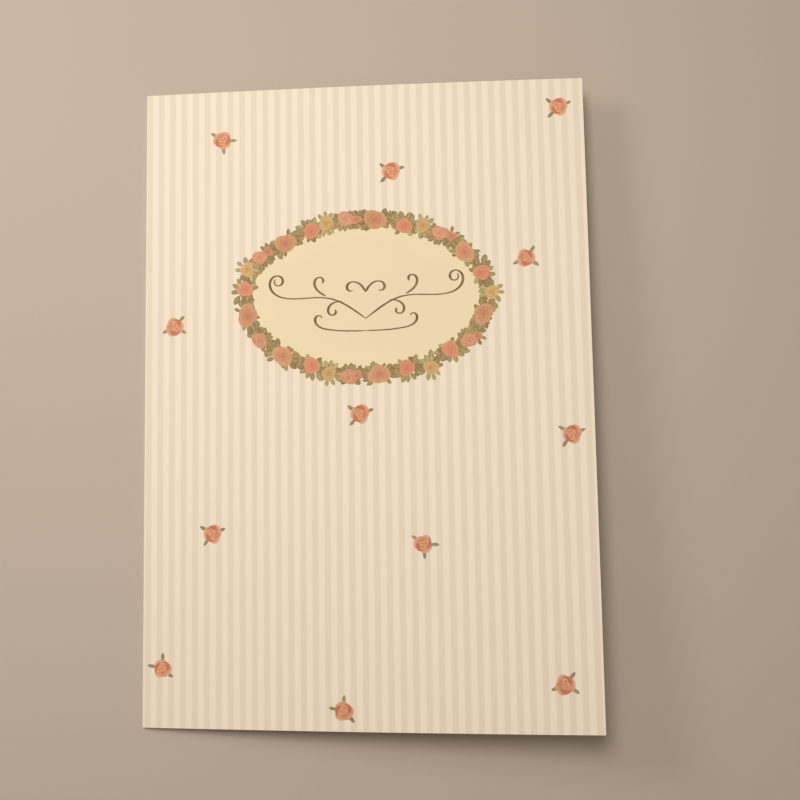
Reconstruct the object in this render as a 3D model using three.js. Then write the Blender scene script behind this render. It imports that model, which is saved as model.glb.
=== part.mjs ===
// Folded invitation card: one sheet of card, creased once along its height.
// The lower leaf lies flat, the crease is rounded, and the upper leaf springs
// open a little, more at its bottom end than at its top end, and flattens
// towards its free edge.
// Millimetres, +Z up, fold along Y on the -X side, the printed face's top at +Y.

import * as THREE from "three";

// Driving dimensions of the card
const CLOSED_WIDTH = 105; // from the nose of the fold to the lower leaf's free edge
const CLOSED_HEIGHT = 150; // along the fold
const CARD_THICKNESS = 0.35;
const CREASE_RADIUS = 0.3; // inside of the rounded crease

// How far the card springs open, in degrees
const TOP_LIFT_DEG = 5.5; // slope of the upper leaf where it leaves the crease, at its top end
const BOTTOM_LIFT_DEG = 9.3; // the same at its bottom end
const LEAF_CURL_DEG = 3.4; // what that slope has lost at the free edge

// Steps of the surface: along the sheet from edge to edge, and along the fold
const LOWER_LEAF_STEPS = 1;
const CREASE_STEPS = 14;
const UPPER_LEAF_STEPS = 30;
const HEIGHT_STEPS = 12;

// Sizes that follow from them
const MIDDLE_RADIUS = CREASE_RADIUS + CARD_THICKNESS / 2;
const OUTER_RADIUS = CREASE_RADIUS + CARD_THICKNESS;
const CREASE_X = OUTER_RADIUS - CLOSED_WIDTH / 2; // axis of the crease
const LEAF_LENGTH = CLOSED_WIDTH - OUTER_RADIUS; // flat part of each leaf
const SHEET_STEPS = LOWER_LEAF_STEPS + CREASE_STEPS + UPPER_LEAF_STEPS;

const card = new THREE.MeshStandardMaterial({
  color: "#f1e2ca",
  roughness: 0.85,
  metalness: 0,
});

// Slope of the upper leaf at the crease, in radians, at a height y on the card.
function liftAt(y) {
  const fromTop = 0.5 - y / CLOSED_HEIGHT;
  return THREE.MathUtils.degToRad(THREE.MathUtils.lerp(TOP_LIFT_DEG, BOTTOM_LIFT_DEG, fromTop));
}

// A point of the sheet's middle surface in the XZ plane, with its direction of travel.
// The sheet runs from the lower leaf's free edge, round the crease, to the upper leaf's.

function onLowerLeaf(share) {
  return { x: CREASE_X + LEAF_LENGTH * (1 - share), z: CARD_THICKNESS / 2, heading: Math.PI };
}

function onCrease(share, lift) {
  const heading = THREE.MathUtils.lerp(Math.PI, lift, share);
  return {
    x: CREASE_X - MIDDLE_RADIUS * Math.sin(heading),
    z: OUTER_RADIUS + MIDDLE_RADIUS * Math.cos(heading),
    heading,
  };
}

// The upper leaf is a shallow arc whose slope falls evenly. What the crease doesn't
// use of the sheet, because it isn't closed flat, lengthens this leaf.
function onUpperLeaf(share, lift) {
  const root = onCrease(1, lift);
  const turned = THREE.MathUtils.degToRad(LEAF_CURL_DEG) * share;
  const run = (LEAF_LENGTH + MIDDLE_RADIUS * lift) * share;
  const chord = turned === 0 ? run : (run * Math.sin(turned / 2)) / (turned / 2);
  return {
    x: root.x + chord * Math.cos(lift - turned / 2),
    z: root.z + chord * Math.sin(lift - turned / 2),
    heading: lift - turned,
  };
}

function onSheet(step, y) {
  if (step <= LOWER_LEAF_STEPS) {
    return onLowerLeaf(step / LOWER_LEAF_STEPS);
  }
  const pastLowerLeaf = step - LOWER_LEAF_STEPS;
  if (pastLowerLeaf <= CREASE_STEPS) {
    return onCrease(pastLowerLeaf / CREASE_STEPS, liftAt(y));
  }
  return onUpperLeaf((pastLowerLeaf - CREASE_STEPS) / UPPER_LEAF_STEPS, liftAt(y));
}

// The flat sheet is a box in steps along its length, and each vertex is carried to its
// place on the folded one, half the thickness outside or inside the middle surface.
function foldedSheet() {
  const sheet = new THREE.BoxGeometry(1, CLOSED_HEIGHT, 1, SHEET_STEPS, HEIGHT_STEPS, 1);
  const vertices = sheet.attributes.position;
  for (let i = 0; i < vertices.count; i += 1) {
    const step = Math.round((vertices.getX(i) + 0.5) * SHEET_STEPS);
    const y = vertices.getY(i);
    const outward = vertices.getZ(i) * CARD_THICKNESS;
    const at = onSheet(step, y);
    vertices.setXYZ(
      i,
      at.x - outward * Math.sin(at.heading),
      y,
      at.z + outward * Math.cos(at.heading),
    );
  }
  sheet.computeVertexNormals();
  return sheet;
}

const invitation = new THREE.Group();
invitation.name = "folded_invitation";

const foldedCard = new THREE.Mesh(foldedSheet(), card);
foldedCard.name = "folded_card";
invitation.add(foldedCard);

export default invitation;
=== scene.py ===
"""Dresses the folded invitation card: a striped sheet, an oval rose garland, roses and a pen scroll.

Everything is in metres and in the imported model's frame: +X from the fold to the free edges, +Y to
the top of the printed face, +Z up. The print is laid out flat on the front leaf, as the distance
along the sheet from the crease and the height on the card, and one rule then carries the sheet and
its print to their folded place.
"""

import logging
import math
import random
from dataclasses import dataclass
from enum import Enum
from typing import Any, Union

import bpy
from mathutils import Matrix, Vector


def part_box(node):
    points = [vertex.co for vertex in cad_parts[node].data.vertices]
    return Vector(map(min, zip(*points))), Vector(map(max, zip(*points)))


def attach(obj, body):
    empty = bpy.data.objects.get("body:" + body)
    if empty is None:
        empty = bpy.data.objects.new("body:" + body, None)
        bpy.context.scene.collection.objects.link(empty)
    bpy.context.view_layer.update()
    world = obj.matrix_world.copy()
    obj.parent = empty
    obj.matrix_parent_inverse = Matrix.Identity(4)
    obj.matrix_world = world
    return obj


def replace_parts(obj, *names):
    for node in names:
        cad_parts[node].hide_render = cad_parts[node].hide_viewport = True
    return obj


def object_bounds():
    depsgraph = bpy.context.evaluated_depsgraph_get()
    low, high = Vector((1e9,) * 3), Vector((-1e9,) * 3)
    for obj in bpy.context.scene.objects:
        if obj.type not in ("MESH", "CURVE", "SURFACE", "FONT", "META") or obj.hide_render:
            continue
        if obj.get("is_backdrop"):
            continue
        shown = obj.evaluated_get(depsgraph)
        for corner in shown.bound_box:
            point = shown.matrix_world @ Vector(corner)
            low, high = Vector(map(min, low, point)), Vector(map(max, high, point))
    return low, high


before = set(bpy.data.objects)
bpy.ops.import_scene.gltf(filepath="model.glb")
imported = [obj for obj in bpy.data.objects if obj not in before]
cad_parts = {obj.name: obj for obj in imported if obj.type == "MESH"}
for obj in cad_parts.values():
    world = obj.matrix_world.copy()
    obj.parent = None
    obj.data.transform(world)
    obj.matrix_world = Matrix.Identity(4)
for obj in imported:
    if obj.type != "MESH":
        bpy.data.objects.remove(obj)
CAD_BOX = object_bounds()

LOG = logging.getLogger("invitation")
BODY = "root"
CARD_NODE = "folded_card"
MM = 0.001
# How far the print's plates reach down into the sheet.
SUNK = 0.01 * MM
# The tone of a leaf that is printed tan. The green ones have tones from 0 to 1.
TAN_TONE = 2.0

Triple = tuple[float, float, float]
Colour = Triple
# Where something starts and where it ends, or its least and its greatest value.
Band = tuple[float, float]
Number = Union[float, "Wire"]


def srgb(red: int, green: int, blue: int) -> Colour:
    """Turns a colour written from 0 to 255, as a picture shows it, into Blender's linear one.

    Args:
        red: Red, 0 to 255.
        green: Green, 0 to 255.
        blue: Blue, 0 to 255.

    Returns:
        The linear colour, 0 to 1.
    """
    knee, low_slope, offset, power = 0.04045, 12.92, 0.055, 2.4
    shares = (red / 255, green / 255, blue / 255)
    return tuple(
        share / low_slope if share <= knee else ((share + offset) / (1 + offset)) ** power
        for share in shares
    )


def add_object(name: str, data: bpy.types.ID) -> bpy.types.Object:
    """Puts a new object into the scene.

    Args:
        name: Its name.
        data: Its mesh, lamp or camera.

    Returns:
        The object, at the origin.
    """
    added = bpy.data.objects.new(name, data)
    bpy.context.scene.collection.objects.link(added)
    return added


def bake_mesh(piece: bpy.types.Object) -> None:
    """Keeps what a piece's modifiers make as its plain mesh, and takes the modifiers off.

    Args:
        piece: The piece.
    """
    shown = piece.evaluated_get(bpy.context.evaluated_depsgraph_get())
    mesh = bpy.data.meshes.new_from_object(shown)
    piece.modifiers.clear()
    piece.data = mesh
    mesh.name = piece.name


class Wire:
    """A number carried by a node's socket, so that a tree's maths reads as Python."""

    def __init__(self, graph: "Graph", socket: bpy.types.NodeSocket) -> None:
        """Wraps a socket of the graph's tree."""
        self.graph = graph
        self.socket = socket

    def maths(self, operation: str, *others: Number) -> "Wire":
        """Adds a Math node that starts with this number and returns its result."""
        return self.graph.maths(operation, self, *others)

    def __add__(self, other: Number) -> "Wire":
        """Gives self + other."""
        return self.maths("ADD", other)

    def __radd__(self, other: float) -> "Wire":
        """Gives other + self."""
        return self.maths("ADD", other)

    def __sub__(self, other: Number) -> "Wire":
        """Gives self - other."""
        return self.maths("SUBTRACT", other)

    def __rsub__(self, other: float) -> "Wire":
        """Gives other - self."""
        return self.graph.maths("SUBTRACT", other, self)

    def __mul__(self, other: Number) -> "Wire":
        """Gives self * other."""
        return self.maths("MULTIPLY", other)

    def __rmul__(self, other: float) -> "Wire":
        """Gives other * self."""
        return self.maths("MULTIPLY", other)

    def __truediv__(self, other: Number) -> "Wire":
        """Gives self / other."""
        return self.maths("DIVIDE", other)

    def __rtruediv__(self, other: float) -> "Wire":
        """Gives other / self."""
        return self.graph.maths("DIVIDE", other, self)

    def __pow__(self, other: Number) -> "Wire":
        """Gives self ** other."""
        return self.maths("POWER", other)

    def __rpow__(self, other: float) -> "Wire":
        """Gives other ** self."""
        return self.graph.maths("POWER", other, self)

    def __abs__(self) -> "Wire":
        """Gives the number without its sign."""
        return self.maths("ABSOLUTE")

    def sin(self) -> "Wire":
        """Gives the sine."""
        return self.maths("SINE")

    def cos(self) -> "Wire":
        """Gives the cosine."""
        return self.maths("COSINE")

    def fraction(self) -> "Wire":
        """Gives what is past the decimal point."""
        return self.maths("FRACT")

    def above(self, limit: Number) -> "Wire":
        """Gives 1 where the number is greater than the limit, else 0."""
        return self.maths("GREATER_THAN", limit)

    def span(self, other: "Wire") -> "Wire":
        """Gives the distance from the origin, with this number and another as coordinates."""
        return (self ** 2.0 + other ** 2.0) ** 0.5

    def clamp(self) -> "Wire":
        """Holds the number between 0 and 1."""
        return self.graph.wire(self.graph.node("ShaderNodeClamp", inputs={"Value": self}))

    def rise(self, low: float, high: float) -> "Wire":
        """Rises smoothly from 0 to 1 between two values.

        Args:
            low: Where the rise starts.
            high: Where it ends.

        Returns:
            The share of the rise.
        """
        settings = {"interpolation_type": "SMOOTHSTEP"}
        limits = {"Value": self, "From Min": low, "From Max": high}
        return self.graph.wire(self.graph.node("ShaderNodeMapRange", settings, limits), "Result")


class Graph:
    """One node tree, and the one way in which nodes are added to it."""

    def __init__(self, tree: bpy.types.NodeTree) -> None:
        """Empties the tree and works on it."""
        self.tree = tree
        tree.nodes.clear()

    @staticmethod
    def port(ports: Any, key: int | str) -> bpy.types.NodeSocket:
        """Finds a socket.

        Args:
            ports: A node's inputs or outputs.
            key: The socket's number, identifier or name.

        Returns:
            The socket.
        """
        if isinstance(key, int):
            return ports[key]
        return next((port for port in ports if port.identifier == key), None) or ports[key]

    def node(self, kind: str, settings: dict | None = None, inputs: dict | None = None) -> bpy.types.Node:
        """Adds a node.

        Args:
            kind: The node's type.
            settings: Its properties, which are set first; "stops" are a ramp's places and colours.
            inputs: A value, wire or socket for each input, by number, identifier or name.

        Returns:
            The new node.
        """
        node = self.tree.nodes.new(kind)
        for name, value in (settings or {}).items():
            if name == "stops":
                self.set_stops(node.color_ramp, value)
            else:
                setattr(node, name, value)
        for key, value in (inputs or {}).items():
            port = self.port(node.inputs, key)
            if isinstance(value, Wire):
                self.tree.links.new(value.socket, port)
            elif isinstance(value, bpy.types.NodeSocket):
                self.tree.links.new(value, port)
            else:
                port.default_value = value
        return node

    @staticmethod
    def set_stops(ramp: bpy.types.ColorRamp, stops: list[tuple[float, Colour]]) -> None:
        """Gives a colour ramp its stops.

        Args:
            ramp: The ramp, which comes with two stops.
            stops: Places from 0 to 1 and their linear colours, in order.
        """
        while len(ramp.elements) < len(stops):
            ramp.elements.new(1.0)
        for element, (place, colour) in zip(ramp.elements, stops):
            element.position = place
            element.color = (*colour, 1.0)

    def wire(self, node: bpy.types.Node, key: int | str = 0) -> Wire:
        """Wraps an output of a node."""
        return Wire(self, self.port(node.outputs, key))

    def maths(self, operation: str, *terms: Number) -> Wire:
        """Adds a Math node for an operation on one to three terms."""
        return self.wire(self.node("ShaderNodeMath", {"operation": operation}, dict(enumerate(terms))))

    def parts(self, vector: Wire) -> tuple[Wire, Wire, Wire]:
        """Splits a vector into its three numbers."""
        split = self.node("ShaderNodeSeparateXYZ", inputs={0: vector})
        return self.wire(split, 0), self.wire(split, 1), self.wire(split, 2)

    def vector(self, x: Number, y: Number, z: Number) -> Wire:
        """Joins three numbers into a vector."""
        return self.wire(self.node("ShaderNodeCombineXYZ", inputs={0: x, 1: y, 2: z}))

    def noise(self, place: Wire, grain: float, detail: float = 2.0) -> Wire:
        """Adds a noise pattern.

        Args:
            place: The coordinates that it follows.
            grain: The size of its blotches, in metres.
            detail: How many finer layers it has.

        Returns:
            The pattern, around 0.5.
        """
        sizes = {"Vector": place, "Scale": 1 / grain, "Detail": detail}
        return self.wire(self.node("ShaderNodeTexNoise", inputs=sizes), "Fac")

    def seen(self) -> Wire:
        """Gives 1 for what the camera sees itself, and 0 in reflections and for the light."""
        return self.wire(self.node("ShaderNodeLightPath"), "Is Camera Ray")


class PieceTree(Graph):
    """A Geometry Nodes tree with named sizes, which makes one piece as a plain mesh."""

    def __init__(self, name: str) -> None:
        """Starts a tree that takes the piece's starting mesh.

        Args:
            name: The piece's name.
        """
        super().__init__(bpy.data.node_groups.new(name, "GeometryNodeTree"))
        self.name = name
        self.values: dict[str, Any] = {}
        self.wires: dict[str, Wire] = {}
        self.materials: list[tuple[bpy.types.Material, Wire | None]] = []
        interface = self.tree.interface
        interface.new_socket("Geometry", in_out="INPUT", socket_type="NodeSocketGeometry")
        interface.new_socket("Geometry", in_out="OUTPUT", socket_type="NodeSocketGeometry")
        self.given = self.node("NodeGroupInput")
        self.start = self.wire(self.given, 0)

    def size(self, name: str, value: float | int) -> Wire:
        """Adds a named input, or finds it again.

        Args:
            name: The input's name.
            value: Its value in the finished piece.

        Returns:
            The input's wire.
        """
        if name not in self.wires:
            kind = "NodeSocketInt" if isinstance(value, int) else "NodeSocketFloat"
            item = self.tree.interface.new_socket(name, in_out="INPUT", socket_type=kind)
            self.values[item.identifier] = value
            self.wires[name] = self.wire(self.given, item.identifier)
        return self.wires[name]

    def read(self, name: str, kind: str = "FLOAT") -> Wire:
        """Reads a named attribute of the mesh, of kind FLOAT or FLOAT_VECTOR."""
        settings = {"data_type": kind}
        return self.wire(self.node("GeometryNodeInputNamedAttribute", settings, {"Name": name}))

    def store(self, geometry: Wire, name: str, value: Wire, kind: str, domain: str = "POINT") -> Wire:
        """Stores a named attribute.

        Args:
            geometry: What it is stored on.
            name: The attribute's name.
            value: Its value.
            kind: FLOAT or FLOAT_VECTOR.
            domain: POINT or FACE.

        Returns:
            The geometry with the attribute.
        """
        settings = {"data_type": kind, "domain": domain}
        inputs = {"Geometry": geometry, "Name": name, "Value": value}
        return self.wire(self.node("GeometryNodeStoreNamedAttribute", settings, inputs))

    def place(self, geometry: Wire, position: Wire) -> Wire:
        """Moves every point of a geometry to a position."""
        inputs = {"Geometry": geometry, "Position": position}
        return self.wire(self.node("GeometryNodeSetPosition", inputs=inputs))

    def position(self) -> tuple[Wire, Wire, Wire]:
        """Gives the points' coordinates."""
        return self.parts(self.wire(self.node("GeometryNodeInputPosition")))

    def plate(self, rim_points: int) -> Wire:
        """Adds a closed round plate of radius 1 and height 1, around the origin.

        Args:
            rim_points: How many points its rim has.

        Returns:
            The plate.
        """
        inputs = {"Vertices": self.size("Rim Points", rim_points), "Radius": 1.0, "Depth": 1.0}
        return self.wire(self.node("GeometryNodeMeshCylinder", {"fill_type": "TRIANGLE_FAN"}, inputs))

    def stamp(self, points: Wire, motif: Wire, angle: Number, scale: Wire) -> Wire:
        """Puts a motif on every point.

        Args:
            points: The points.
            motif: The geometry that is repeated.
            angle: Its turn about Z, in radians.
            scale: Its scale as a vector.

        Returns:
            The instances.
        """
        euler = {"Euler": self.vector(0.0, 0.0, angle)}
        turn = self.wire(self.node("FunctionNodeEulerToRotation", inputs=euler))
        inputs = {"Points": points, "Instance": motif, "Rotation": turn, "Scale": scale}
        return self.wire(self.node("GeometryNodeInstanceOnPoints", inputs=inputs))

    def paint(self, material: bpy.types.Material, where: Wire | None = None) -> None:
        """Names a material for the faces where a selection holds, or for all of them."""
        self.materials.append((material, where))

    def realize(self, geometry: Wire) -> Wire:
        """Turns instances into plain geometry."""
        return self.wire(self.node("GeometryNodeRealizeInstances", inputs={"Geometry": geometry}))

    def make(self, geometry: Wire, start: bpy.types.Mesh) -> bpy.types.Object:
        """Ends the tree, runs it on a starting mesh and keeps the result as a plain mesh.

        Args:
            geometry: What the tree has made.
            start: The mesh that the tree works on.

        Returns:
            The piece, with no modifier on it.
        """
        geometry = self.realize(geometry)
        for material, where in self.materials:
            inputs = {"Geometry": geometry, "Material": material}
            if where is not None:
                inputs["Selection"] = where
            geometry = self.wire(self.node("GeometryNodeSetMaterial", inputs=inputs))
        self.node("NodeGroupOutput", inputs={0: geometry})
        piece = add_object(self.name, start)
        modifier = piece.modifiers.new(self.name, "NODES")
        modifier.node_group = self.tree
        for identifier, value in self.values.items():
            modifier[identifier] = value
        bake_mesh(piece)
        piece.data.shade_flat()
        return piece


class ShaderTree(Graph):
    """A material's node tree with one Principled BSDF."""

    def __init__(self, name: str, roughness: float, gloss: float) -> None:
        """Starts a material.

        Args:
            name: The material's name.
            roughness: Its roughness.
            gloss: Its specular level.
        """
        self.material = bpy.data.materials.new(name)
        self.material.use_nodes = True
        super().__init__(self.material.node_tree)
        steady = {"Roughness": roughness, "Specular IOR Level": gloss}
        self.surface = self.node("ShaderNodeBsdfPrincipled", inputs=steady)
        self.end = self.node("ShaderNodeOutputMaterial", inputs={0: self.surface.outputs[0]})

    def object_place(self) -> Wire:
        """Gives the Object coordinates."""
        return self.wire(self.node("ShaderNodeTexCoord"), "Object")

    def attribute(self, name: str) -> Wire:
        """Reads a number that the piece's mesh stores."""
        return self.wire(self.node("ShaderNodeAttribute", {"attribute_name": name}), "Fac")

    def vector_attribute(self, name: str) -> Wire:
        """Reads a vector that the piece's mesh stores."""
        return self.wire(self.node("ShaderNodeAttribute", {"attribute_name": name}), "Vector")

    def mottled(self, grain: float, swing: float) -> Wire:
        """Adds blotches to a light.

        Args:
            grain: Their size, in metres.
            swing: How much the noise at its strongest would change the light.

        Returns:
            The change of the light, around 0.
        """
        return 2 * swing * (self.noise(self.object_place(), grain) - 0.5)

    def blend(self, share: Number, first: Wire | Colour, second: Wire | Colour) -> Wire:
        """Mixes two colours.

        Args:
            share: How much of the second colour there is.
            first: The first colour, a wire or three numbers.
            second: The second colour.

        Returns:
            The mixed colour.
        """
        pair = [colour if isinstance(colour, Wire) else (*colour, 1.0) for colour in (first, second)]
        inputs = {"Factor_Float": share, "A_Color": pair[0], "B_Color": pair[1]}
        return self.wire(self.node("ShaderNodeMix", {"data_type": "RGBA"}, inputs), "Result_Color")

    def shade(self, colour: Wire | Colour, light: Number) -> Wire:
        """Multiplies a colour by a number."""
        inputs = {0: colour, 3: light}
        return self.wire(self.node("ShaderNodeVectorMath", {"operation": "SCALE"}, inputs))

    def relief(self, height: Wire, depth: float) -> None:
        """Roughens the surface.

        Args:
            height: The pattern of the relief, 0 to 1.
            depth: How deep it is, in metres.
        """
        inputs = {"Height": height, "Distance": depth, "Strength": 1.0}
        bump = self.node("ShaderNodeBump", inputs=inputs)
        self.tree.links.new(bump.outputs[0], self.surface.inputs["Normal"])

    def colour(self, colour: Wire) -> bpy.types.Material:
        """Ends the material with its colour and returns it."""
        self.tree.links.new(colour.socket, self.surface.inputs["Base Color"])
        return self.material


@dataclass(frozen=True)
class PaperGrain:
    """What all the uncoated card has: fibres, faint mottling and a fine tooth."""

    fibre: float = 0.35 * MM
    fibre_detail: float = 3.0
    fibre_relief: float = 0.6
    tooth: float = 0.12 * MM
    cloud: float = 9 * MM
    mottling: float = 0.018
    depth: float = 0.006 * MM

    def dress(self, shader: ShaderTree, colour: Wire) -> bpy.types.Material:
        """Adds the grain to a colour and ends the material.

        Args:
            shader: The material's tree.
            colour: The card's colour.

        Returns:
            The material.
        """
        place = shader.object_place()
        fibres = shader.noise(place, self.fibre, self.fibre_detail)
        clouds = shader.noise(place, self.cloud)
        light = 1 + self.mottling * 2 * (fibres - 0.5) + self.mottling * (clouds - 0.5)
        tooth = (1 - self.fibre_relief) * shader.noise(place, self.tooth)
        shader.relief(self.fibre_relief * fibres + tooth, self.depth)
        return shader.colour(shader.shade(colour, light))


@dataclass(frozen=True)
class PlainCard:
    """The bare card of the inside, the back and the cut edges, a little darker in places."""

    name: str = "plain_card"
    stock: Colour = srgb(243, 230, 208)
    roughness: float = 0.9
    gloss: float = 0.25
    darkest: float = 0.97
    grain: PaperGrain = PaperGrain()

    def build(self) -> bpy.types.Material:
        """Makes the material.

        Returns:
            The material.
        """
        shader = ShaderTree(self.name, self.roughness, self.gloss)
        clouds = shader.noise(shader.object_place(), self.grain.cloud)
        darker = tuple(self.darkest * part for part in self.stock)
        return self.grain.dress(shader, shader.blend(clouds, self.stock, darker))


@dataclass(frozen=True)
class OvalField:
    """The plain oval that the garland frames, as printed on the front leaf."""

    along: float = 52.6 * MM
    up: float = 23.7 * MM
    half_width: float = 28.6 * MM
    half_height: float = 18.4 * MM

    @property
    def perimeter(self) -> float:
        """Length of the oval's outline, by the usual close formula."""
        total, product = self.half_width + self.half_height, self.half_width * self.half_height
        return math.pi * (3 * total - math.sqrt(3 * total**2 + 4 * product))


@dataclass(frozen=True)
class StripedCard:
    """The printed face: fine two-tone stripes along the height and the plain oval field."""

    oval: OvalField
    paper: Colour = srgb(246, 227, 201)
    stripe: Colour = srgb(236, 216, 189)
    pitch: float = 2.844 * MM
    bright_middle: float = 1.98 * MM
    skew: float = 0.0035
    edge: float = 0.11
    bleed: float = 0.25 * MM
    field_middle: Colour = srgb(240, 216, 178)
    field_rim: Colour = srgb(241, 220, 177)
    field_inset: float = 0.3 * MM
    field_fade: Band = (0.5, 1.0)
    field_edge: Band = (0.997, 1.003)
    roughness: float = 0.82
    gloss: float = 0.3
    grain: PaperGrain = PaperGrain()

    def build(self, plain: Colour) -> bpy.types.Material:
        """Makes the material.

        Args:
            plain: The card's own colour, which shows on the crease, where the print ends.

        Returns:
            The material.
        """
        shader = ShaderTree("striped_card", self.roughness, self.gloss)
        along, up, _ = shader.parts(shader.vector_attribute("card_place"))
        colour = self.striped(shader, along + self.skew * up)
        colour = self.with_oval(shader, along, up, colour)
        inked = along.rise(-self.bleed, 0.0)
        return self.grain.dress(shader, shader.blend(inked, plain, colour))

    def striped(self, shader: ShaderTree, along: Wire) -> Wire:
        """Draws the stripes, which are printed a little out of true.

        Args:
            shader: The material's tree.
            along: The distance across the stripes.

        Returns:
            Their colour.
        """
        turns = ((along - self.bright_middle) / self.pitch).fraction()
        from_bright = 1 - abs(1 - 2 * turns)
        inked = from_bright.rise(0.5 - self.edge, 0.5 + self.edge)
        return shader.blend(inked, self.paper, self.stripe)

    def with_oval(self, shader: ShaderTree, along: Wire, up: Wire, stripes: Wire) -> Wire:
        """Draws the plain oval over the stripes.

        Args:
            shader: The material's tree.
            along: The distance along the sheet from the crease.
            up: The height on the card.
            stripes: The stripes' colour.

        Returns:
            The colour with the oval.
        """
        across = (along - self.oval.along) / (self.oval.half_width - self.field_inset)
        above = (up - self.oval.up) / (self.oval.half_height - self.field_inset)
        radius = across.span(above)
        cream = shader.blend(radius.rise(*self.field_fade), self.field_middle, self.field_rim)
        return shader.blend(1 - radius.rise(*self.field_edge), stripes, cream)


@dataclass(frozen=True)
class PetalInk:
    """The watercolour print of a rose, from its outermost petals to its heart.

    The petals' order runs from 0 at the outermost to 1 at the heart. On each petal the radius runs
    from 0 to 1 at the rim, and the side from -1 towards the rose's middle to 1 at the tip.
    """

    name: str
    outer: Colour
    body: Colour
    heart: Colour
    deep: Colour
    ring: Colour | None = None
    outer_end: float = 0.3
    ring_past_outer: Band = (0.08, 0.2)
    body_past_outer: float = 0.32
    sunk: float = 0.52
    sunk_side: Band = (-0.3, 0.8)
    crease: float = 0.45
    crease_radius: Band = (0.84, 1.0)
    crease_side: Band = (0.2, 0.9)
    rim: float = 0.1
    rim_radius: Band = (0.55, 0.95)
    rim_side: Band = (0.0, 0.7)
    own_tone: float = 0.05
    blotch: float = 0.5 * MM
    mottling: float = 0.1
    roughness: float = 0.8
    gloss: float = 0.3

    def build(self) -> bpy.types.Material:
        """Makes the material.

        Returns:
            The material.
        """
        shader = ShaderTree(self.name, self.roughness, self.gloss)
        side, across, _ = shader.parts(shader.vector_attribute("petal_place"))
        ring = self.ring or self.body
        ring_start, ring_end = (self.outer_end + past for past in self.ring_past_outer)
        stops = [(0.0, self.outer), (self.outer_end, self.outer), (ring_start, ring), (ring_end, ring)]
        stops += [(self.outer_end + self.body_past_outer, self.body), (1.0, self.heart)]
        order = shader.attribute("petal_order")
        ramp = shader.wire(shader.node("ShaderNodeValToRGB", {"stops": stops}, {"Fac": order}))
        radius = side.span(across)
        covered = 1 - side.rise(*self.sunk_side)
        crease = radius.rise(*self.crease_radius) * (1 - side.rise(*self.crease_side))
        colour = shader.blend((self.sunk * covered + self.crease * crease).clamp(), ramp, self.deep)
        lit = radius.rise(*self.rim_radius) * side.rise(*self.rim_side)
        light = 1 + self.rim * lit + shader.mottled(self.blotch, self.mottling)
        return shader.colour(shader.shade(colour, light + self.own_tone * shader.attribute("tone")))


@dataclass(frozen=True)
class LeafInk:
    """The watercolour print of the leaves: a pale midrib, one half in shade and a darker outline.

    A leaf's place along it runs from 0 at its stalk end to 1 at its tip, and across it from -1 to
    1. Its tone goes from dark at 0 to light at 1, and one with the tan tone is tan all over.
    """

    name: str
    dark: Colour
    light: Colour
    tan: Colour = srgb(204, 156, 113)
    midrib: float = 0.14
    midrib_width: Band = (0.02, 0.22)
    half_shade: float = 0.12
    half_blur: float = 0.05
    veins: float = 0.06
    vein_pairs: float = 4.5
    vein_slant: float = 1.6
    outline: float = 0.24
    outline_radius: Band = (0.55, 0.98)
    blotch: float = 0.45 * MM
    mottling: float = 0.12
    roughness: float = 0.8
    gloss: float = 0.3

    def build(self) -> bpy.types.Material:
        """Makes the material.

        Returns:
            The material.
        """
        shader = ShaderTree(self.name, self.roughness, self.gloss)
        along, across, _ = shader.parts(shader.vector_attribute("leaf_place"))
        tone = shader.attribute("tone")
        colour = shader.blend(tone.clamp(), self.dark, self.light)
        colour = shader.blend(tone.above(TAN_TONE - 0.5), colour, self.tan)
        rib = 1 - abs(across).rise(*self.midrib_width)
        shaded = across.rise(-self.half_blur, self.half_blur)
        veins = (2 * math.pi * (self.vein_pairs * along - self.vein_slant * abs(across))).sin()
        light = 1 + self.midrib * rib - self.half_shade * shaded + self.veins * veins
        radius = (2 * along - 1).span(across)
        light = light - self.outline * radius.rise(*self.outline_radius)
        return shader.colour(shader.shade(colour, light + shader.mottled(self.blotch, self.mottling)))


@dataclass(frozen=True)
class PenInk:
    """The pen's ink, a little uneven along the stroke."""

    dark: Colour = srgb(108, 88, 55)
    light: Colour = srgb(138, 114, 76)
    pool: float = 1.6 * MM
    pool_edge: Band = (0.3, 0.7)
    roughness: float = 0.7
    gloss: float = 0.35

    def build(self) -> bpy.types.Material:
        """Makes the material.

        Returns:
            The material.
        """
        shader = ShaderTree("pen_ink", self.roughness, self.gloss)
        pooled = shader.noise(shader.object_place(), self.pool).rise(*self.pool_edge)
        return shader.colour(shader.blend(pooled, self.light, self.dark))


@dataclass(frozen=True)
class TableTop:
    """The plain pale floor, which isn't part of the card, and the backdrop that it turns into."""

    surface: Colour = srgb(196, 178, 159)
    backdrop: Colour = srgb(176, 160, 143)
    speck: float = 0.8 * MM
    speck_tone: float = 0.015
    cloud: float = 60 * MM
    cloud_tone: float = 0.01
    fade: Band = (0.17, 0.42)
    roughness: float = 0.75
    gloss: float = 0.2

    def build(self) -> bpy.types.Material:
        """Makes the material, which fades into the backdrop far from the card.

        Returns:
            The material.
        """
        shader = ShaderTree("table_top", self.roughness, self.gloss)
        light = 1 + shader.mottled(self.speck, self.speck_tone) + shader.mottled(self.cloud, self.cloud_tone)
        x, y, _ = shader.parts(shader.object_place())
        far = x.span(y).rise(*self.fade)
        even = shader.node("ShaderNodeEmission", inputs={"Color": (*self.backdrop, 1.0), "Strength": 1.0})
        inputs = {0: far * shader.seen(), 1: shader.surface.outputs[0], 2: even.outputs[0]}
        both = shader.node("ShaderNodeMixShader", inputs=inputs)
        shader.tree.links.new(both.outputs[0], shader.end.inputs[0])
        return shader.colour(shader.shade(self.surface, light))


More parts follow.
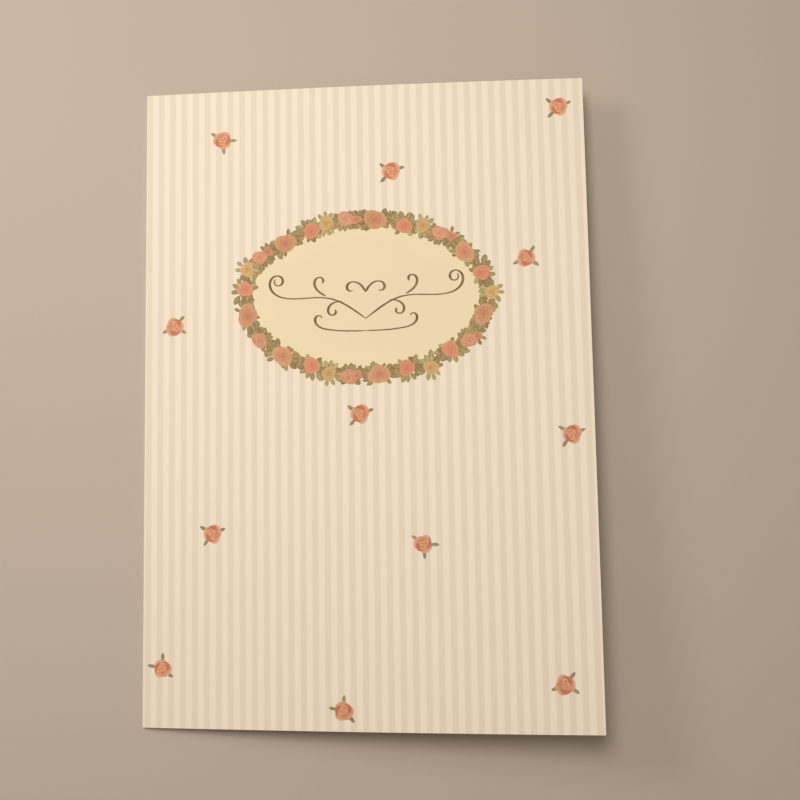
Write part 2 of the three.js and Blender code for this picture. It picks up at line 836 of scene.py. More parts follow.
@dataclass
class CardShape:
    """The folded sheet's form: the lower leaf, the rounded crease and the sprung upper leaf.

    A point of the sheet is carried from its place on the flat sheet, which is how far it has come
    along the lower leaf, round the crease and along the upper leaf.
    """

    width: float
    height: float
    thickness: float = 0.35 * MM
    crease_radius: float = 0.3 * MM
    top_lift: float = math.radians(5.5)
    bottom_lift: float = math.radians(9.3)
    curl: float = math.radians(3.4)
    cockle: float = 0.08 * MM
    cockle_length: float = 38 * MM

    @classmethod
    def from_frame(cls) -> "CardShape":
        """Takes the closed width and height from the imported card."""
        low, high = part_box(CARD_NODE)
        return cls(width=high.x - low.x, height=high.y - low.y)

    @property
    def middle_radius(self) -> float:
        """Radius of the sheet's middle surface at the crease."""
        return self.crease_radius + self.thickness / 2

    @property
    def outer_radius(self) -> float:
        """Radius of the sheet's outer face at the crease."""
        return self.crease_radius + self.thickness

    @property
    def leaf_length(self) -> float:
        """Flat part of each leaf."""
        return self.width - self.outer_radius

    @property
    def crease_x(self) -> float:
        """Where the crease's axis lies."""
        return self.outer_radius - self.width / 2

    def lift(self, tree: PieceTree, y: Wire) -> Wire:
        """Gives the upper leaf's slope at the crease, at a height on the card."""
        top, height = tree.size("Top Lift", self.top_lift), tree.size("Closed Height", self.height)
        return top + (tree.size("Bottom Lift", self.bottom_lift) - top) * (0.5 - y / height)

    def upper_run(self, lift: Wire) -> Wire:
        """Gives the upper leaf's length from the crease to its free edge."""
        return self.leaf_length + self.middle_radius * lift

    def fold(
        self, tree: PieceTree, lower: Number, round_share: Number, run: Wire, y: Wire, outward: Wire
    ) -> Wire:
        """Carries points from the flat sheet to the folded one.

        Args:
            tree: The tree that the maths is added to.
            lower: How much of the lower leaf is still ahead, which is 0 past that leaf.
            round_share: How much of the crease is done, from 0 to 1.
            run: The distance along the upper leaf from the crease, which is 0 before it.
            y: The height on the card.
            outward: The distance from the sheet's middle surface, towards the printed side.

        Returns:
            The points' places.
        """
        lift = self.lift(tree, y)
        half_turned = tree.size("Curl", self.curl) * run / self.upper_run(lift) / 2
        # The chord of so shallow an arc, by the sine's series, is exact to a nanometre.
        chord = run * (1 - half_turned * half_turned / 6)
        round_heading = math.pi + (lift - math.pi) * round_share
        heading = round_heading - 2 * half_turned
        outward = outward + self.cockled(tree, run, y)
        x = self.crease_x + lower - self.middle_radius * round_heading.sin()
        x = x + chord * (lift - half_turned).cos() - outward * heading.sin()
        z = self.outer_radius + self.middle_radius * round_heading.cos()
        z = z + chord * (lift - half_turned).sin() + outward * heading.cos()
        return tree.vector(x, y, z)

    def cockled(self, tree: PieceTree, run: Wire, y: Wire) -> Wire:
        """Gives the upper leaf's faint waviness, which is nothing at the crease."""
        wave = tree.noise(tree.vector(run, y, 0.0), self.cockle_length, 0.0) - 0.5
        return tree.size("Cockle", self.cockle) * run.rise(0.0, self.cockle_length) * wave

    def wrap(self, tree: PieceTree, geometry: Wire) -> Wire:
        """Lays flat print on the front leaf.

        Args:
            tree: The tree that the maths is added to.
            geometry: Print laid out flat: x is the distance from the crease, z the film's height.

        Returns:
            The print in its place on the card.
        """
        run, y, film = tree.position()
        outward = tree.size("Thickness", self.thickness) / 2 + film
        return tree.place(geometry, self.fold(tree, 0.0, 1.0, run, y, outward))


@dataclass(frozen=True)
class Spot:
    """Where one motif of the print goes: its place, turn, size and tone."""

    x: float
    y: float
    layer: int = 0
    turn: float = 0.0
    size: float = 1.0
    tone: float = 0.0


def spots_mesh(name: str, spots: list[Spot], layer_step: float) -> bpy.types.Mesh:
    """Makes a mesh of loose points that say where the motifs go.

    Args:
        name: The mesh's name.
        spots: The places.
        layer_step: How much higher each layer of the print lies.

    Returns:
        The mesh, with the turn, size and tone of each point.
    """
    mesh = bpy.data.meshes.new(name)
    mesh.from_pydata([(spot.x, spot.y, spot.layer * layer_step) for spot in spots], [], [])
    for label in ("turn", "size", "tone"):
        attribute = mesh.attributes.new(label, "FLOAT", "POINT")
        attribute.data.foreach_set("value", [getattr(spot, label) for spot in spots])
    return mesh


@dataclass(frozen=True)
class RoseHead:
    """A printed rose: round petals in golden-angle order, smaller and higher towards its heart.

    A petal's half breadth is its reach times the waist in its middle, and more towards its tip. The
    stretch is along the rose's own turn and across it.
    """

    reach: float
    petals: int = 14
    core: float = 0.2
    fall: float = 1.3
    petal_share: float = 0.6
    first_turn: float = 0.0
    first_height: float = 0.068 * MM
    petal_step: float = 0.003 * MM
    waist: float = 1.04
    tip: float = 0.12
    stretch: tuple[float, float] = (1.0, 1.0)
    rim_points: int = 12

    def build(self, tree: PieceTree) -> Wire:
        """Adds the rose to a tree.

        Args:
            tree: The tree of the piece.

        Returns:
            The rose as instances of its petals, around the origin.
        """
        petals = tree.size("Petals", self.petals)
        points = tree.wire(tree.node("GeometryNodePoints", inputs={"Count": petals}))
        index = tree.wire(tree.node("GeometryNodeInputIndex"))
        order = index / (petals - 1.0)
        fall = (1 - tree.size("Core Share", self.core)) * order ** self.fall
        own_reach = tree.size("Head Reach", self.reach) * (1 - fall)
        size = own_reach * tree.size("Petal Share", self.petal_share)
        golden = math.pi * (3 - math.sqrt(5))
        turn = tree.size("First Turn", self.first_turn) + index * golden
        out = own_reach - size
        points = tree.place(points, tree.vector(out * turn.cos(), out * turn.sin(), -SUNK))
        points = tree.store(points, "petal_order", order, "FLOAT")
        step = tree.size("Petal Step", self.petal_step)
        height = tree.size("First Height", self.first_height) + index * step
        return tree.stamp(points, self.petal(tree), turn, tree.vector(size, size, height + SUNK))

    def petal(self, tree: PieceTree) -> Wire:
        """Adds one petal, a plate that is broader at its tip.

        Args:
            tree: The tree of the piece.

        Returns:
            The petal, of radius and height 1.
        """
        x, y, z = tree.position()
        plate = tree.plate(self.rim_points)
        plate = tree.store(plate, "petal_place", tree.vector(x, y, 0.0), "FLOAT_VECTOR")
        return tree.place(plate, tree.vector(x, y * (self.waist + self.tip * x), z + 0.5))

    def stamp(self, tree: PieceTree, points: Wire, turn: Wire) -> Wire:
        """Puts a rose on every point, as big as the point's size says.

        Args:
            tree: The tree of the piece.
            points: The points, each at its layer's height.
            turn: The rose's turn.

        Returns:
            The roses.
        """
        along, across = self.stretch
        length = tree.read("size") * tree.size("Stretch Along", along)
        breadth = tree.read("size") * tree.size("Stretch Across", across)
        return tree.stamp(points, self.build(tree), turn, tree.vector(length, breadth, 1.0))


@dataclass(frozen=True)
class LeafBlade:
    """A printed leaf: a pointed oval plate from its stalk end to its tip."""

    breadth: float = 0.5
    point: float = 1.6
    film: float = 0.012 * MM
    rim_points: int = 14

    def build(self, tree: PieceTree) -> Wire:
        """Adds a leaf to a tree.

        Args:
            tree: The tree of the piece.

        Returns:
            The leaf, of length and height 1.
        """
        x, y, z = tree.position()
        along = (x + 1) / 2
        plate = tree.plate(self.rim_points)
        plate = tree.store(plate, "leaf_place", tree.vector(along, y, 0.0), "FLOAT_VECTOR")
        narrowed = y * abs(y) ** (self.point - 1) * tree.size("Breadth", self.breadth) / 2
        return tree.place(plate, tree.vector(along, narrowed, z + 0.5))

    def stamp(self, tree: PieceTree, points: Wire, turn: Wire) -> Wire:
        """Puts a leaf on every point, as long as the point's size says.

        Args:
            tree: The tree of the piece.
            points: The points, each at its leaf's stalk end and at its layer's height.
            turn: The leaf's direction.

        Returns:
            The leaves.
        """
        x, y, layer = tree.position()
        height = tree.size("Film", self.film) + layer
        # The height is stored first, because it reads the layer that the next node takes away.
        points = tree.store(points, "plate_height", height + SUNK, "FLOAT")
        lowered = tree.place(points, tree.vector(x, y, -SUNK))
        size = tree.read("size")
        return tree.stamp(lowered, self.build(tree), turn, tree.vector(size, size, tree.read("plate_height")))


@dataclass
class MotifPrint:
    """Print on the front leaf that repeats a motif at given spots."""

    shape: CardShape

    def lay(self, tree: PieceTree) -> tuple[Wire, Wire]:
        """Gives the spots' points and each one's turn."""
        return tree.start, tree.read("turn")

    def print_motif(
        self, name: str, motif: RoseHead | LeafBlade, ink: PetalInk | LeafInk,
        spots: list[Spot], layer_step: float,
    ) -> bpy.types.Object:
        """Makes all the roses or leaves of one kind as one piece.

        Args:
            name: The piece's name.
            motif: What is repeated.
            ink: Its finish.
            spots: Where it goes.
            layer_step: How much higher each layer of the print lies.

        Returns:
            The piece.
        """
        tree = PieceTree(name)
        points, turn = self.lay(tree)
        motifs = tree.realize(motif.stamp(tree, points, turn))
        tree.paint(ink.build())
        return tree.make(self.shape.wrap(tree, motifs), spots_mesh(name, spots, layer_step))


class RoseKind(Enum):
    """The garland's kinds of rose, by the colour of their petals, and their buds."""

    CORAL = "C"
    OCHRE = "Y"
    PINK = "P"
    DUSTY = "D"
    BUD = "b"


@dataclass(frozen=True)
class RosePlan:
    """How one kind of rose is printed: its head, its ink, its spin and its sprigs.

    The head's turn is drawn at random, up to the spin either way, in radians. A sprig is a leaf
    that goes with the rose: its direction in degrees from straight outwards, against the clock, how
    far from the rose's middle its stalk end lies and how long it is, in millimetres, and its tone,
    from dark to light.
    """

    head: RoseHead
    ink: PetalInk
    spin: float
    sprigs: tuple[tuple[float, float, float, float], ...]


ROSE_PLANS = {
    # Each coral rose has a fan of leaves outside.
    RoseKind.CORAL: RosePlan(
        RoseHead(2.15 * MM),
        PetalInk(
            "coral_petals", srgb(214, 147, 112), srgb(217, 143, 109), srgb(222, 145, 113), srgb(196, 112, 78)
        ),
        spin=math.pi,
        sprigs=(
            (52, 2.0, 2.3, 0.45), (24, 1.5, 2.1, 0.3), (-3, 1.4, 2.0, 0.4), (-34, 1.5, 1.9, 0.5),
            (-62, 1.7, 1.9, 0.25), (84, 1.6, 2.0, 0.15), (140, 1.3, 1.7, 0.1), (-140, 1.2, 1.8, 0.75),
            (-112, 1.6, 1.8, 0.15),
        ),
    ),
    # The ochre ones have pale sprigs outside and green ones inside.
    RoseKind.OCHRE: RosePlan(
        RoseHead(1.95 * MM, petals=12),
        PetalInk(
            "ochre_petals", srgb(207, 169, 112), srgb(213, 174, 116), srgb(213, 160, 106), srgb(182, 138, 82)
        ),
        spin=math.pi,
        sprigs=(
            (30, 1.3, 1.6, 0.7), (-6, 1.5, 1.5, 0.6), (-40, 1.2, 1.7, 0.55), (78, 1.2, 1.9, 0.35),
            (-84, 1.1, 1.9, 0.3), (150, 1.3, 1.9, 0.9), (178, 1.4, 1.8, 0.7), (-152, 1.3, 1.9, 0.8),
            (118, 1.2, 1.8, 0.2),
        ),
    ),
    # The pink ones have a dark cluster of leaves inside.
    RoseKind.PINK: RosePlan(
        RoseHead(1.9 * MM, petals=11, core=0.28, stretch=(1.1, 1.0)),
        PetalInk(
            "pink_petals", srgb(210, 150, 114), srgb(219, 159, 124), srgb(222, 162, 127), srgb(192, 120, 86)
        ),
        spin=0.6,
        sprigs=(
            (150, 1.3, 1.9, 0.35), (175, 1.4, 1.8, 0.2), (-155, 1.3, 1.9, 0.3), (-125, 1.3, 1.9, 0.1),
            (122, 1.2, 1.8, 0.45), (62, 1.3, 1.7, 0.2), (-70, 1.4, 1.6, 0.5),
        ),
    ),
    # The dusty ones are broad, with tan outer petals and dark leaves on both sides.
    RoseKind.DUSTY: RosePlan(
        RoseHead(2.45 * MM, petals=17, fall=1.15, stretch=(1.2, 1.0)),
        PetalInk(
            "dusty_petals", srgb(207, 154, 113), srgb(208, 146, 109), srgb(210, 143, 107), srgb(176, 112, 77),
            outer_end=0.38,
        ),
        spin=0.35,
        sprigs=(
            (98, 2.0, 2.0, 0.2), (74, 2.2, 2.1, 0.1), (122, 1.9, 2.0, 0.3), (-96, 2.0, 2.0, 0.15),
            (-72, 2.2, 2.1, 0.3), (-122, 1.9, 2.0, 0.35), (48, 2.0, 1.6, 0.45), (-46, 2.1, 1.7, 0.2),
            (150, 1.8, 1.3, 0.2),
        ),
    ),
    RoseKind.BUD: RosePlan(
        RoseHead(1.3 * MM, petals=8, core=0.35),
        PetalInk(
            "bud_petals", srgb(206, 143, 108), srgb(210, 146, 112), srgb(206, 138, 106), srgb(176, 110, 76)
        ),
        spin=math.pi,
        sprigs=((20, 0.9, 1.4, 0.25), (-30, 0.9, 1.4, 0.15), (165, 0.9, 1.6, 0.2)),
    ),
}


@dataclass
class Garland(MotifPrint):
    """The oval rose garland: roses and buds in a row along an ellipse, among leaves."""

    oval: OvalField
    seed: int = 11
    layer_step: float = 0.0014 * MM
    rose_layer_step: float = 0.0006 * MM
    layers: int = 12
    path_points: int = 240
    rose_sizes: Band = (0.94, 1.06)
    leaf_blade: LeafBlade = LeafBlade(breadth=0.58, point=1.75)
    leaf_ink: LeafInk = LeafInk("garland_leaf_ink", srgb(156, 129, 83), srgb(200, 182, 122))
    filler_gap: float = 0.36 * MM
    # How far outside the oval the tan and the green fillers start, how long they are, how far they
    # lean and how dark the green ones are. At the bare share of the places no green one grows.
    tan_out: Band = (-1.15 * MM, 0.75 * MM)
    tan_length: Band = (1.9 * MM, 2.5 * MM)
    tan_lean: float = 25
    green_out: Band = (-1.5 * MM, 1.0 * MM)
    green_length: Band = (1.5 * MM, 2.2 * MM)
    green_lean: float = 75
    green_tones: Band = (0.0, 0.5)
    bare_share: float = 0.42
    sprig_lean: float = 14
    sprig_sizes: Band = (0.9, 1.1)
    sprig_tone_swing: float = 0.15
    # Kind, distance along the oval clockwise from its left end and distance outside it, in mm.
    row: tuple[tuple[str, float, float], ...] = (
        ("C", 2.6, 0.3), ("Y", 6.9, 1.7), ("P", 10.6, 1.0), ("b", 12.9, 0.6), ("D", 17.3, -0.3),
        ("C", 24.3, -0.4), ("Y", 28.1, 0.4), ("P", 32.7, 0.6), ("b", 35.4, 0.2), ("D", 39.6, 0.0),
        ("C", 46.9, -0.8), ("Y", 51.1, 0.2), ("P", 55.4, 0.0), ("b", 58.1, 0.6), ("D", 62.9, -0.7),
        ("C", 69.5, -0.6), ("Y", 74.5, 0.7), ("D", 79.8, -0.3), ("b", 84.8, 1.3), ("P", 86.7, 0.6),
        ("C", 91.3, -0.4), ("Y", 97.3, 1.4), ("C", 102.5, -0.2), ("D", 109.0, 0.1), ("b", 114.2, 0.2),
        ("P", 116.1, 0.6), ("Y", 120.8, 0.4), ("C", 125.3, -0.5), ("D", 132.5, 0.2), ("P", 139.1, 0.6),
        ("D", 145.6, 0.1),
    )

    def lay(self, tree: PieceTree) -> tuple[Wire, Wire]:
        """Carries the straight row of spots onto the oval, clockwise from its left end.

        A spot's x is its distance along the oval and its y how far outside it lies.

        Args:
            tree: The tree of the piece.

        Returns:
            The points on the oval, and each one's turn there.
        """
        inputs = {"Resolution": self.path_points, "Radius": 1.0}
        ring = tree.wire(tree.node("GeometryNodeCurvePrimitiveCircle", {"mode": "RADIUS"}, inputs))
        unit_x, unit_y, _ = tree.position()
        half_width = tree.size("Oval Half Width", self.oval.half_width)
        half_height = tree.size("Oval Half Height", self.oval.half_height)
        x = tree.size("Oval Along", self.oval.along) - half_width * unit_x
        y = tree.size("Oval Up", self.oval.up) + half_height * unit_y
        distance, out, layer = tree.position()
        inputs = {"Curves": tree.place(ring, tree.vector(x, y, 0.0)), "Length": distance}
        sampled = tree.node("GeometryNodeSampleCurve", {"mode": "LENGTH"}, inputs)
        path_x, path_y, _ = tree.parts(tree.wire(sampled, "Position"))
        ahead_x, ahead_y, _ = tree.parts(tree.wire(sampled, "Tangent"))
        turn = tree.read("turn") + ahead_y.maths("ARCTAN2", ahead_x)
        turned = tree.store(tree.start, "turn", turn, "FLOAT")
        place = tree.vector(path_x - out * ahead_y, path_y + out * ahead_x, layer)
        return tree.place(turned, place), tree.read("turn")

    def rose_spots(self, kind: RoseKind) -> list[Spot]:
        """Lays out the roses of one kind.

        Args:
            kind: The kind.

        Returns:
            Their spots, all in the kind's own layer.
        """
        draw = random.Random(self.seed + ord(kind.value))
        own_layer, spin = list(RoseKind).index(kind), ROSE_PLANS[kind].spin
        spots = []
        for mark, distance, out in self.row:
            if RoseKind(mark) is kind:
                turn, size = draw.uniform(-spin, spin), draw.uniform(*self.rose_sizes)
                spots.append(Spot(distance * MM, out * MM, own_layer, turn, size, draw.uniform(-1, 1)))
        return spots

    def leaf_spots(self) -> list[Spot]:
        """Lays out the leaves: tan ones along the garland, green ones across and the roses' sprigs.

        Returns:
            Their spots. Neighbours lie in different layers.
        """
        draw = random.Random(self.seed)
        spots = []
        for number in range(int(self.oval.perimeter / self.filler_gap)):
            way = 1 if number % 2 else -1
            layer = number % self.layers
            x = number * self.filler_gap
            out = draw.uniform(*self.tan_out)
            turn = math.radians(90 - 90 * way + draw.uniform(-self.tan_lean, self.tan_lean))
            spots.append(Spot(x, out, layer, turn, draw.uniform(*self.tan_length), TAN_TONE))
            out = draw.uniform(*self.green_out)
            turn = math.radians(90 * way + draw.uniform(-self.green_lean, self.green_lean))
            length, tone = draw.uniform(*self.green_length), draw.uniform(*self.green_tones)
            if draw.random() > self.bare_share:
                spots.append(Spot(x, out, self.layers + layer, turn, length, tone))
        for mark, distance, out in self.row:
            for direction, start, length, tone in ROSE_PLANS[RoseKind(mark)].sprigs:
                layer = 2 * self.layers + len(spots) % self.layers
                turn = math.radians(90 + direction)
                x = (distance + start * math.cos(turn)) * MM
                y = (out + start * math.sin(turn)) * MM
                turn += math.radians(draw.uniform(-self.sprig_lean, self.sprig_lean))
                length *= draw.uniform(*self.sprig_sizes) * MM
                tone += draw.uniform(-self.sprig_tone_swing, self.sprig_tone_swing)
                spots.append(Spot(x, y, layer, turn, length, min(max(tone, 0.0), 1.0)))
        return spots

    def build(self) -> list[bpy.types.Object]:
        """Makes the garland's pieces.

        Returns:
            The leaves, then the roses of each kind.
        """
        leaves = self.print_motif(
            "garland_leaves", self.leaf_blade, self.leaf_ink, self.leaf_spots(), self.layer_step
        )
        pieces = [leaves]
        for kind in RoseKind:
            plan, name = ROSE_PLANS[kind], f"{kind.name.lower()}_roses"
            roses = self.print_motif(name, plan.head, plan.ink, self.rose_spots(kind), self.rose_layer_step)
            pieces.append(roses)
        return pieces


@dataclass
class ScatteredRoses(MotifPrint):
    """Single roses strewn over the stripes, each with three leaves, in four turns of one motif."""

    head: RoseHead = RoseHead(
        2.25 * MM, petals=12, fall=1.1, first_turn=math.radians(35), stretch=(1.0, 1.15)
    )
    ink: PetalInk = PetalInk(
        "scattered_petals", srgb(220, 162, 126), srgb(222, 155, 114), srgb(240, 178, 134),
        srgb(188, 108, 76), ring=srgb(203, 119, 90), outer_end=0.19,
    )
    sizes: Band = (0.97, 1.03)
    leaf_ink: LeafInk = LeafInk("scattered_leaf_ink", srgb(150, 136, 98), srgb(168, 157, 118))
    leaf_blade: LeafBlade = LeafBlade(breadth=0.42)
    leaf_directions: tuple[float, ...] = (21, 146, 228)
    leaf_start: float = 1.55 * MM
    leaf_length: float = 1.9 * MM
    leaf_sizes: Band = (0.92, 1.08)
    leaf_lean: float = 8
    leaf_layers: int = 3
    layer_step: float = 0.004 * MM
    seed: int = 5
    # Distance from the crease and height on the card, in millimetres, and the motif's turn.
    places: tuple[Triple, ...] = (
        (18.4, 63.0, 126), (58.8, 53.6, 0), (98.5, 68.0, 0), (90.0, 31.8, 182),
        (6.8, 18.0, 182), (51.0, -3.9, 0), (99.2, -9.5, 0), (16.2, -31.0, 0),
        (65.4, -33.6, 126), (4.2, -61.6, -61), (46.7, -70.5, -61), (96.0, -64.3, 182),
    )

    def rose_spots(self) -> list[Spot]:
        """Lays out the rose heads.

        Returns:
            Their spots.
        """
        draw = random.Random(self.seed)
        return [
            Spot(x * MM, y * MM, 0, math.radians(turn), draw.uniform(*self.sizes), draw.uniform(-1, 1))
            for x, y, turn in self.places
        ]

    def leaf_spots(self) -> list[Spot]:
        """Lays out the leaves.

        Returns:
            Their spots.
        """
        draw = random.Random(self.seed)
        spots = []
        for x, y, turn in self.places:
            for direction in self.leaf_directions:
                way = math.radians(turn + direction)
                start_x = x * MM + self.leaf_start * math.cos(way)
                start_y = y * MM + self.leaf_start * math.sin(way)
                way += math.radians(draw.uniform(-self.leaf_lean, self.leaf_lean))
                length = self.leaf_length * draw.uniform(*self.leaf_sizes)
                layer = draw.randrange(self.leaf_layers)
                spots.append(Spot(start_x, start_y, layer, way, length, draw.random()))
        return spots

    def build(self) -> list[bpy.types.Object]:
        """Makes the strewn roses and their leaves.

        Returns:
            The leaves and the roses.
        """
        leaves = self.print_motif(
            "scattered_leaves", self.leaf_blade, self.leaf_ink, self.leaf_spots(), self.layer_step
        )
        roses = self.print_motif("scattered_roses", self.head, self.ink, self.rose_spots(), self.layer_step)
        return [leaves, roses]


@dataclass(frozen=True)
class Stroke:
    """A pen stroke as a chain of Euler spirals: its start, its heading and each bend.

    A bend is its length and the curvature at its start and end, in millimetres.
    """

    x: float
    y: float
    heading: float
    bends: tuple[Triple, ...]
    step: float = 0.25

    def points(self) -> list[tuple[float, float]]:
        """Works out the stroke's middle line from its curvature.

        Returns:
            Its points, in millimetres.
        """
        x, y, heading = self.x, self.y, math.radians(self.heading)
        points = [(x, y)]
        for length, first, last in self.bends:
            steps = max(2, round(length / self.step))
            for number in range(steps):
                curvature = first + (last - first) * (number + 0.5) / steps
                turned = curvature * length / steps
                x += math.cos(heading + turned / 2) * length / steps
                y += math.sin(heading + turned / 2) * length / steps
                heading += turned
                points.append((x, y))
        return points


@dataclass
class PenScroll:
    """A symmetrical pen scroll in the oval's middle, a plain ornament.

    The nib's width grows from thin to thick with a power of how steeply the pen comes down. At both
    ends of a stroke it tapers to the end share of that, over the part that the taper rate gives.
    """

    shape: CardShape
    oval: OvalField
    thin: float = 0.16 * MM
    thick: float = 0.32 * MM
    steepness: float = 1.5
    end_share: float = 0.45
    taper_rate: float = 12
    film: float = 0.03 * MM
    section_points: int = 8
    up: float = -1.5 * MM
    strokes: tuple[Stroke, ...] = (
        Stroke(0.0, -3.7, 36, ((9.9, 0.02, -0.10), (10.0, -0.10, 0.08), (5.5, 0.08, 0.36), (9.5, 0.36, 1.2))),
        Stroke(5.6, 0.5, 2, ((3.4, -0.10, -0.50), (4.6, -0.50, -1.5))),
        Stroke(9.4, 1.9, 28, ((3.8, 0.02, 0.42), (4.6, 0.42, 1.5))),
        Stroke(0.0, 2.6, 64, ((3.6, -0.08, -0.42), (4.6, -0.42, -1.35))),
        Stroke(0.0, -6.6, 0, ((9.0, 0.0, 0.04), (3.6, 0.04, 0.55), (3.0, 0.55, 1.7))),
    )

    def start_mesh(self) -> bpy.types.Mesh:
        """Makes the strokes' middle lines, and the same ones mirrored, as edges.

        Returns:
            The mesh, laid out flat.
        """
        points, edges = [], []
        middle, up = self.oval.along, self.oval.up + self.up
        for stroke in self.strokes:
            for side in (1, -1):
                first = len(points)
                points += [(middle + side * x * MM, up + y * MM, 0.0) for x, y in stroke.points()]
                edges += [(place, place + 1) for place in range(first, len(points) - 1)]
        mesh = bpy.data.meshes.new("pen_scroll_lines")
        mesh.from_pydata(points, edges, [])
        return mesh

    def build(self) -> list[bpy.types.Object]:
        """Makes the scroll: broad where the pen comes down, a hairline where it goes across.

        Returns:
            The scroll.
        """
        tree = PieceTree("pen_scroll")
        lines = tree.wire(tree.node("GeometryNodeMeshToCurve", inputs={"Mesh": tree.start}))
        _, down, _ = tree.parts(tree.wire(tree.node("GeometryNodeInputTangent")))
        along = tree.wire(tree.node("GeometryNodeSplineParameter"), "Factor")
        from_ends = (along * (1 - along) * self.taper_rate).clamp()
        thin, thick = tree.size("Hairline", self.thin), tree.size("Broad Stroke", self.thick)
        width = thin + (thick - thin) * abs(down) ** self.steepness
        width = width * (self.end_share + (1 - self.end_share) * from_ends)
        inputs = {"Resolution": self.section_points, "Radius": 1.0}
        section = tree.wire(tree.node("GeometryNodeCurvePrimitiveCircle", {"mode": "RADIUS"}, inputs))
        inputs = {"Curve": lines, "Profile Curve": section, "Scale": width, "Fill Caps": True}
        nib = tree.wire(tree.node("GeometryNodeCurveToMesh", inputs=inputs))
        x, y, z = tree.position()
        flat = z.above(0.0) * tree.size("Film", self.film) - SUNK
        nib = tree.place(nib, tree.vector(x, y, flat))
        tree.paint(PenInk().build())
        piece = tree.make(self.shape.wrap(tree, nib), self.start_mesh())
        return [piece]


@dataclass
class CardSheet:
    """The sheet itself, folded once, printed on its front leaf.

    The print starts on the crease, and its reach back round it is measured along the sheet.
    """

    shape: CardShape
    oval: OvalField
    lower_steps: int = 12
    crease_steps: int = 24
    upper_steps: int = 72
    height_steps: int = 60
    print_reach: float = 1.6 * MM
    bare: PlainCard = PlainCard()
    cut: PlainCard = PlainCard("cut_edge", srgb(247, 236, 217), roughness=0.95)
    cut_bevel: float = 0.04 * MM
    bevel_from: float = math.radians(60)
    sharp_from: float = math.radians(30)

    def build(self) -> list[bpy.types.Object]:
        """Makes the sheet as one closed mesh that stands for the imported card.

        Returns:
            The sheet.
        """
        tree = PieceTree("card_sheet")
        steps = self.lower_steps + self.crease_steps + self.upper_steps
        inputs = {"Vertices X": steps + 1, "Vertices Y": self.height_steps + 1, "Vertices Z": 2}
        inputs["Size"] = (1.0, self.shape.height, 1.0)
        block = tree.wire(tree.node("GeometryNodeMeshCube", inputs=inputs))
        _, _, facing = tree.parts(tree.wire(tree.node("GeometryNodeInputNormal")))
        block = tree.store(block, "side", facing, "FLOAT", "FACE")
        x, y, z = tree.position()
        step = (x + 0.5) * steps
        lower_share = (step / self.lower_steps).clamp()
        round_share = ((step - self.lower_steps) / self.crease_steps).clamp()
        upper_share = ((step - self.lower_steps - self.crease_steps) / self.upper_steps).clamp()
        lift = self.shape.lift(tree, y)
        run = upper_share * self.shape.upper_run(lift)
        lower = self.shape.leaf_length * (1 - lower_share)
        before = lower + self.shape.middle_radius * (math.pi - lift) * (1 - round_share)
        block = tree.store(block, "card_place", tree.vector(run - before, y, 0.0), "FLOAT_VECTOR")
        outward = z * tree.size("Thickness", self.shape.thickness)
        folded = tree.place(block, self.shape.fold(tree, lower, round_share, run, y, outward))
        side = tree.read("side")
        along, _, _ = tree.parts(tree.read("card_place", "FLOAT_VECTOR"))
        printed = side.above(0.5) * along.above(-self.print_reach)
        tree.paint(self.bare.build())
        tree.paint(StripedCard(self.oval).build(self.bare.stock), printed)
        tree.paint(self.cut.build(), abs(side).maths("LESS_THAN", 0.5))
        piece = tree.make(folded, bpy.data.meshes.new(tree.name))
        self.finish(piece)
        return [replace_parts(piece, CARD_NODE)]

    def finish(self, piece: bpy.types.Object) -> None:
        """Breaks the cut edges a little and shades the leaves smooth.

        Args:
            piece: The sheet.
        """
        bevel = piece.modifiers.new("cut_edges", "BEVEL")
        bevel.width = self.cut_bevel
        bevel.segments = 1
        bevel.limit_method = "ANGLE"
        bevel.angle_limit = self.bevel_from
        bake_mesh(piece)
        piece.data.shade_smooth()
        piece.data.set_sharp_from_angle(angle=self.sharp_from)


@dataclass(frozen=True)
class Lamp:
    """A round soft lamp: its place, its diameter in metres and its power in watts."""

    name: str
    place: Triple
    size: float
    power: float


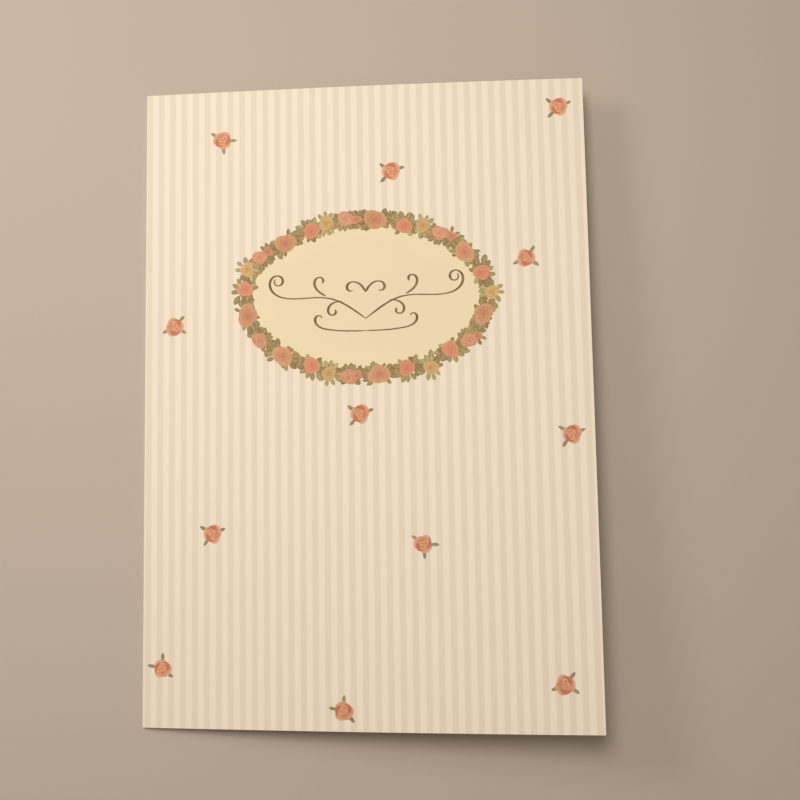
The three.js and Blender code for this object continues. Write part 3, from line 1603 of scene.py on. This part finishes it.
@dataclass
class Studio:
    """The plain floor, the soft light from the upper left and the camera above the card."""

    camera_place: Triple = (8.026 * MM, -21.381 * MM, 237.058 * MM)
    camera_look: Triple = (0.0, 0.0894, -0.996)
    camera_up: Triple = (0.0151, 0.9959, 0.0894)
    lens: float = 45.0
    sensor: float = 36.0
    clip_start: float = 10 * MM
    table: TableTop = TableTop()
    floor_size: float = 6.0
    floor_gap: float = 0.02 * MM
    lamps: tuple[Lamp, ...] = (
        Lamp("window", (-0.39, 0.20, 0.29), 0.17, 0.77),
        Lamp("ceiling", (-0.045, 0.09, 0.355), 0.15, 0.765),
    )
    world_strength: float = 0.24
    world_colour: Colour = (1.0, 0.97, 0.93)

    def build_floor(self) -> None:
        """Lays the floor just under the card."""
        half = self.floor_size / 2
        corners = [(x * half, y * half, -self.floor_gap) for x, y in ((-1, -1), (1, -1), (1, 1), (-1, 1))]
        mesh = bpy.data.meshes.new("floor")
        mesh.from_pydata(corners, [], [(0, 1, 2, 3)])
        mesh.materials.append(self.table.build())
        add_object("floor", mesh)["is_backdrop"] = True

    def build_light(self) -> None:
        """Sets the lamps, turned towards the card, and the even light around."""
        for lamp in self.lamps:
            data = bpy.data.lights.new(lamp.name, "AREA")
            data.shape = "DISK"
            data.size = lamp.size
            data.energy = lamp.power
            light = add_object(lamp.name, data)
            light.location = lamp.place
            light.rotation_euler = (-Vector(lamp.place)).to_track_quat("-Z", "Y").to_euler()
        world = bpy.data.worlds.new("studio")
        world.use_nodes = True
        sky = Graph(world.node_tree)
        inputs = {"Color": (*self.world_colour, 1.0), "Strength": self.world_strength}
        light = sky.node("ShaderNodeBackground", inputs=inputs)
        inputs = {"Color": (*self.table.backdrop, 1.0), "Strength": 1.0}
        backdrop = sky.node("ShaderNodeBackground", inputs=inputs)
        inputs = {0: sky.seen(), 1: light.outputs[0], 2: backdrop.outputs[0]}
        both = sky.node("ShaderNodeMixShader", inputs=inputs)
        sky.node("ShaderNodeOutputWorld", inputs={0: both.outputs[0]})
        bpy.context.scene.world = world

    def build_camera(self) -> None:
        """Puts the camera at the photograph's viewing angle."""
        data = bpy.data.cameras.new("camera")
        data.lens = self.lens
        data.sensor_width = self.sensor
        data.clip_start = self.clip_start
        camera = add_object("camera", data)
        look = Vector(self.camera_look).normalized()
        right = look.cross(Vector(self.camera_up)).normalized()
        turned = Matrix((right, right.cross(look), -look)).transposed()
        camera.matrix_world = Matrix.Translation(self.camera_place) @ turned.to_4x4()
        bpy.context.scene.camera = camera

    def build(self) -> None:
        """Sets the stage."""
        self.build_camera()
        self.build_floor()
        self.build_light()
        bpy.context.scene.view_settings.view_transform = "Standard"


def write_sizes() -> None:
    boxes = {"cad": CAD_BOX, "visual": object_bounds()}
    plain = {name: [list(corner) for corner in box] for name, box in boxes.items()}


def main() -> None:
    """Builds the card's pieces in order and reports each one."""
    logging.basicConfig(level=logging.INFO, format="%(name)s: %(message)s")
    Studio().build()
    shape = CardShape.from_frame()
    oval = OvalField()
    makers = (CardSheet(shape, oval), PenScroll(shape, oval), Garland(shape, oval), ScatteredRoses(shape))
    for maker in makers:
        for piece in maker.build():
            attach(piece, BODY)
            LOG.info("%s: %d faces", piece.name, len(piece.data.polygons))
    write_sizes()


if __name__ == "__main__":
    main()
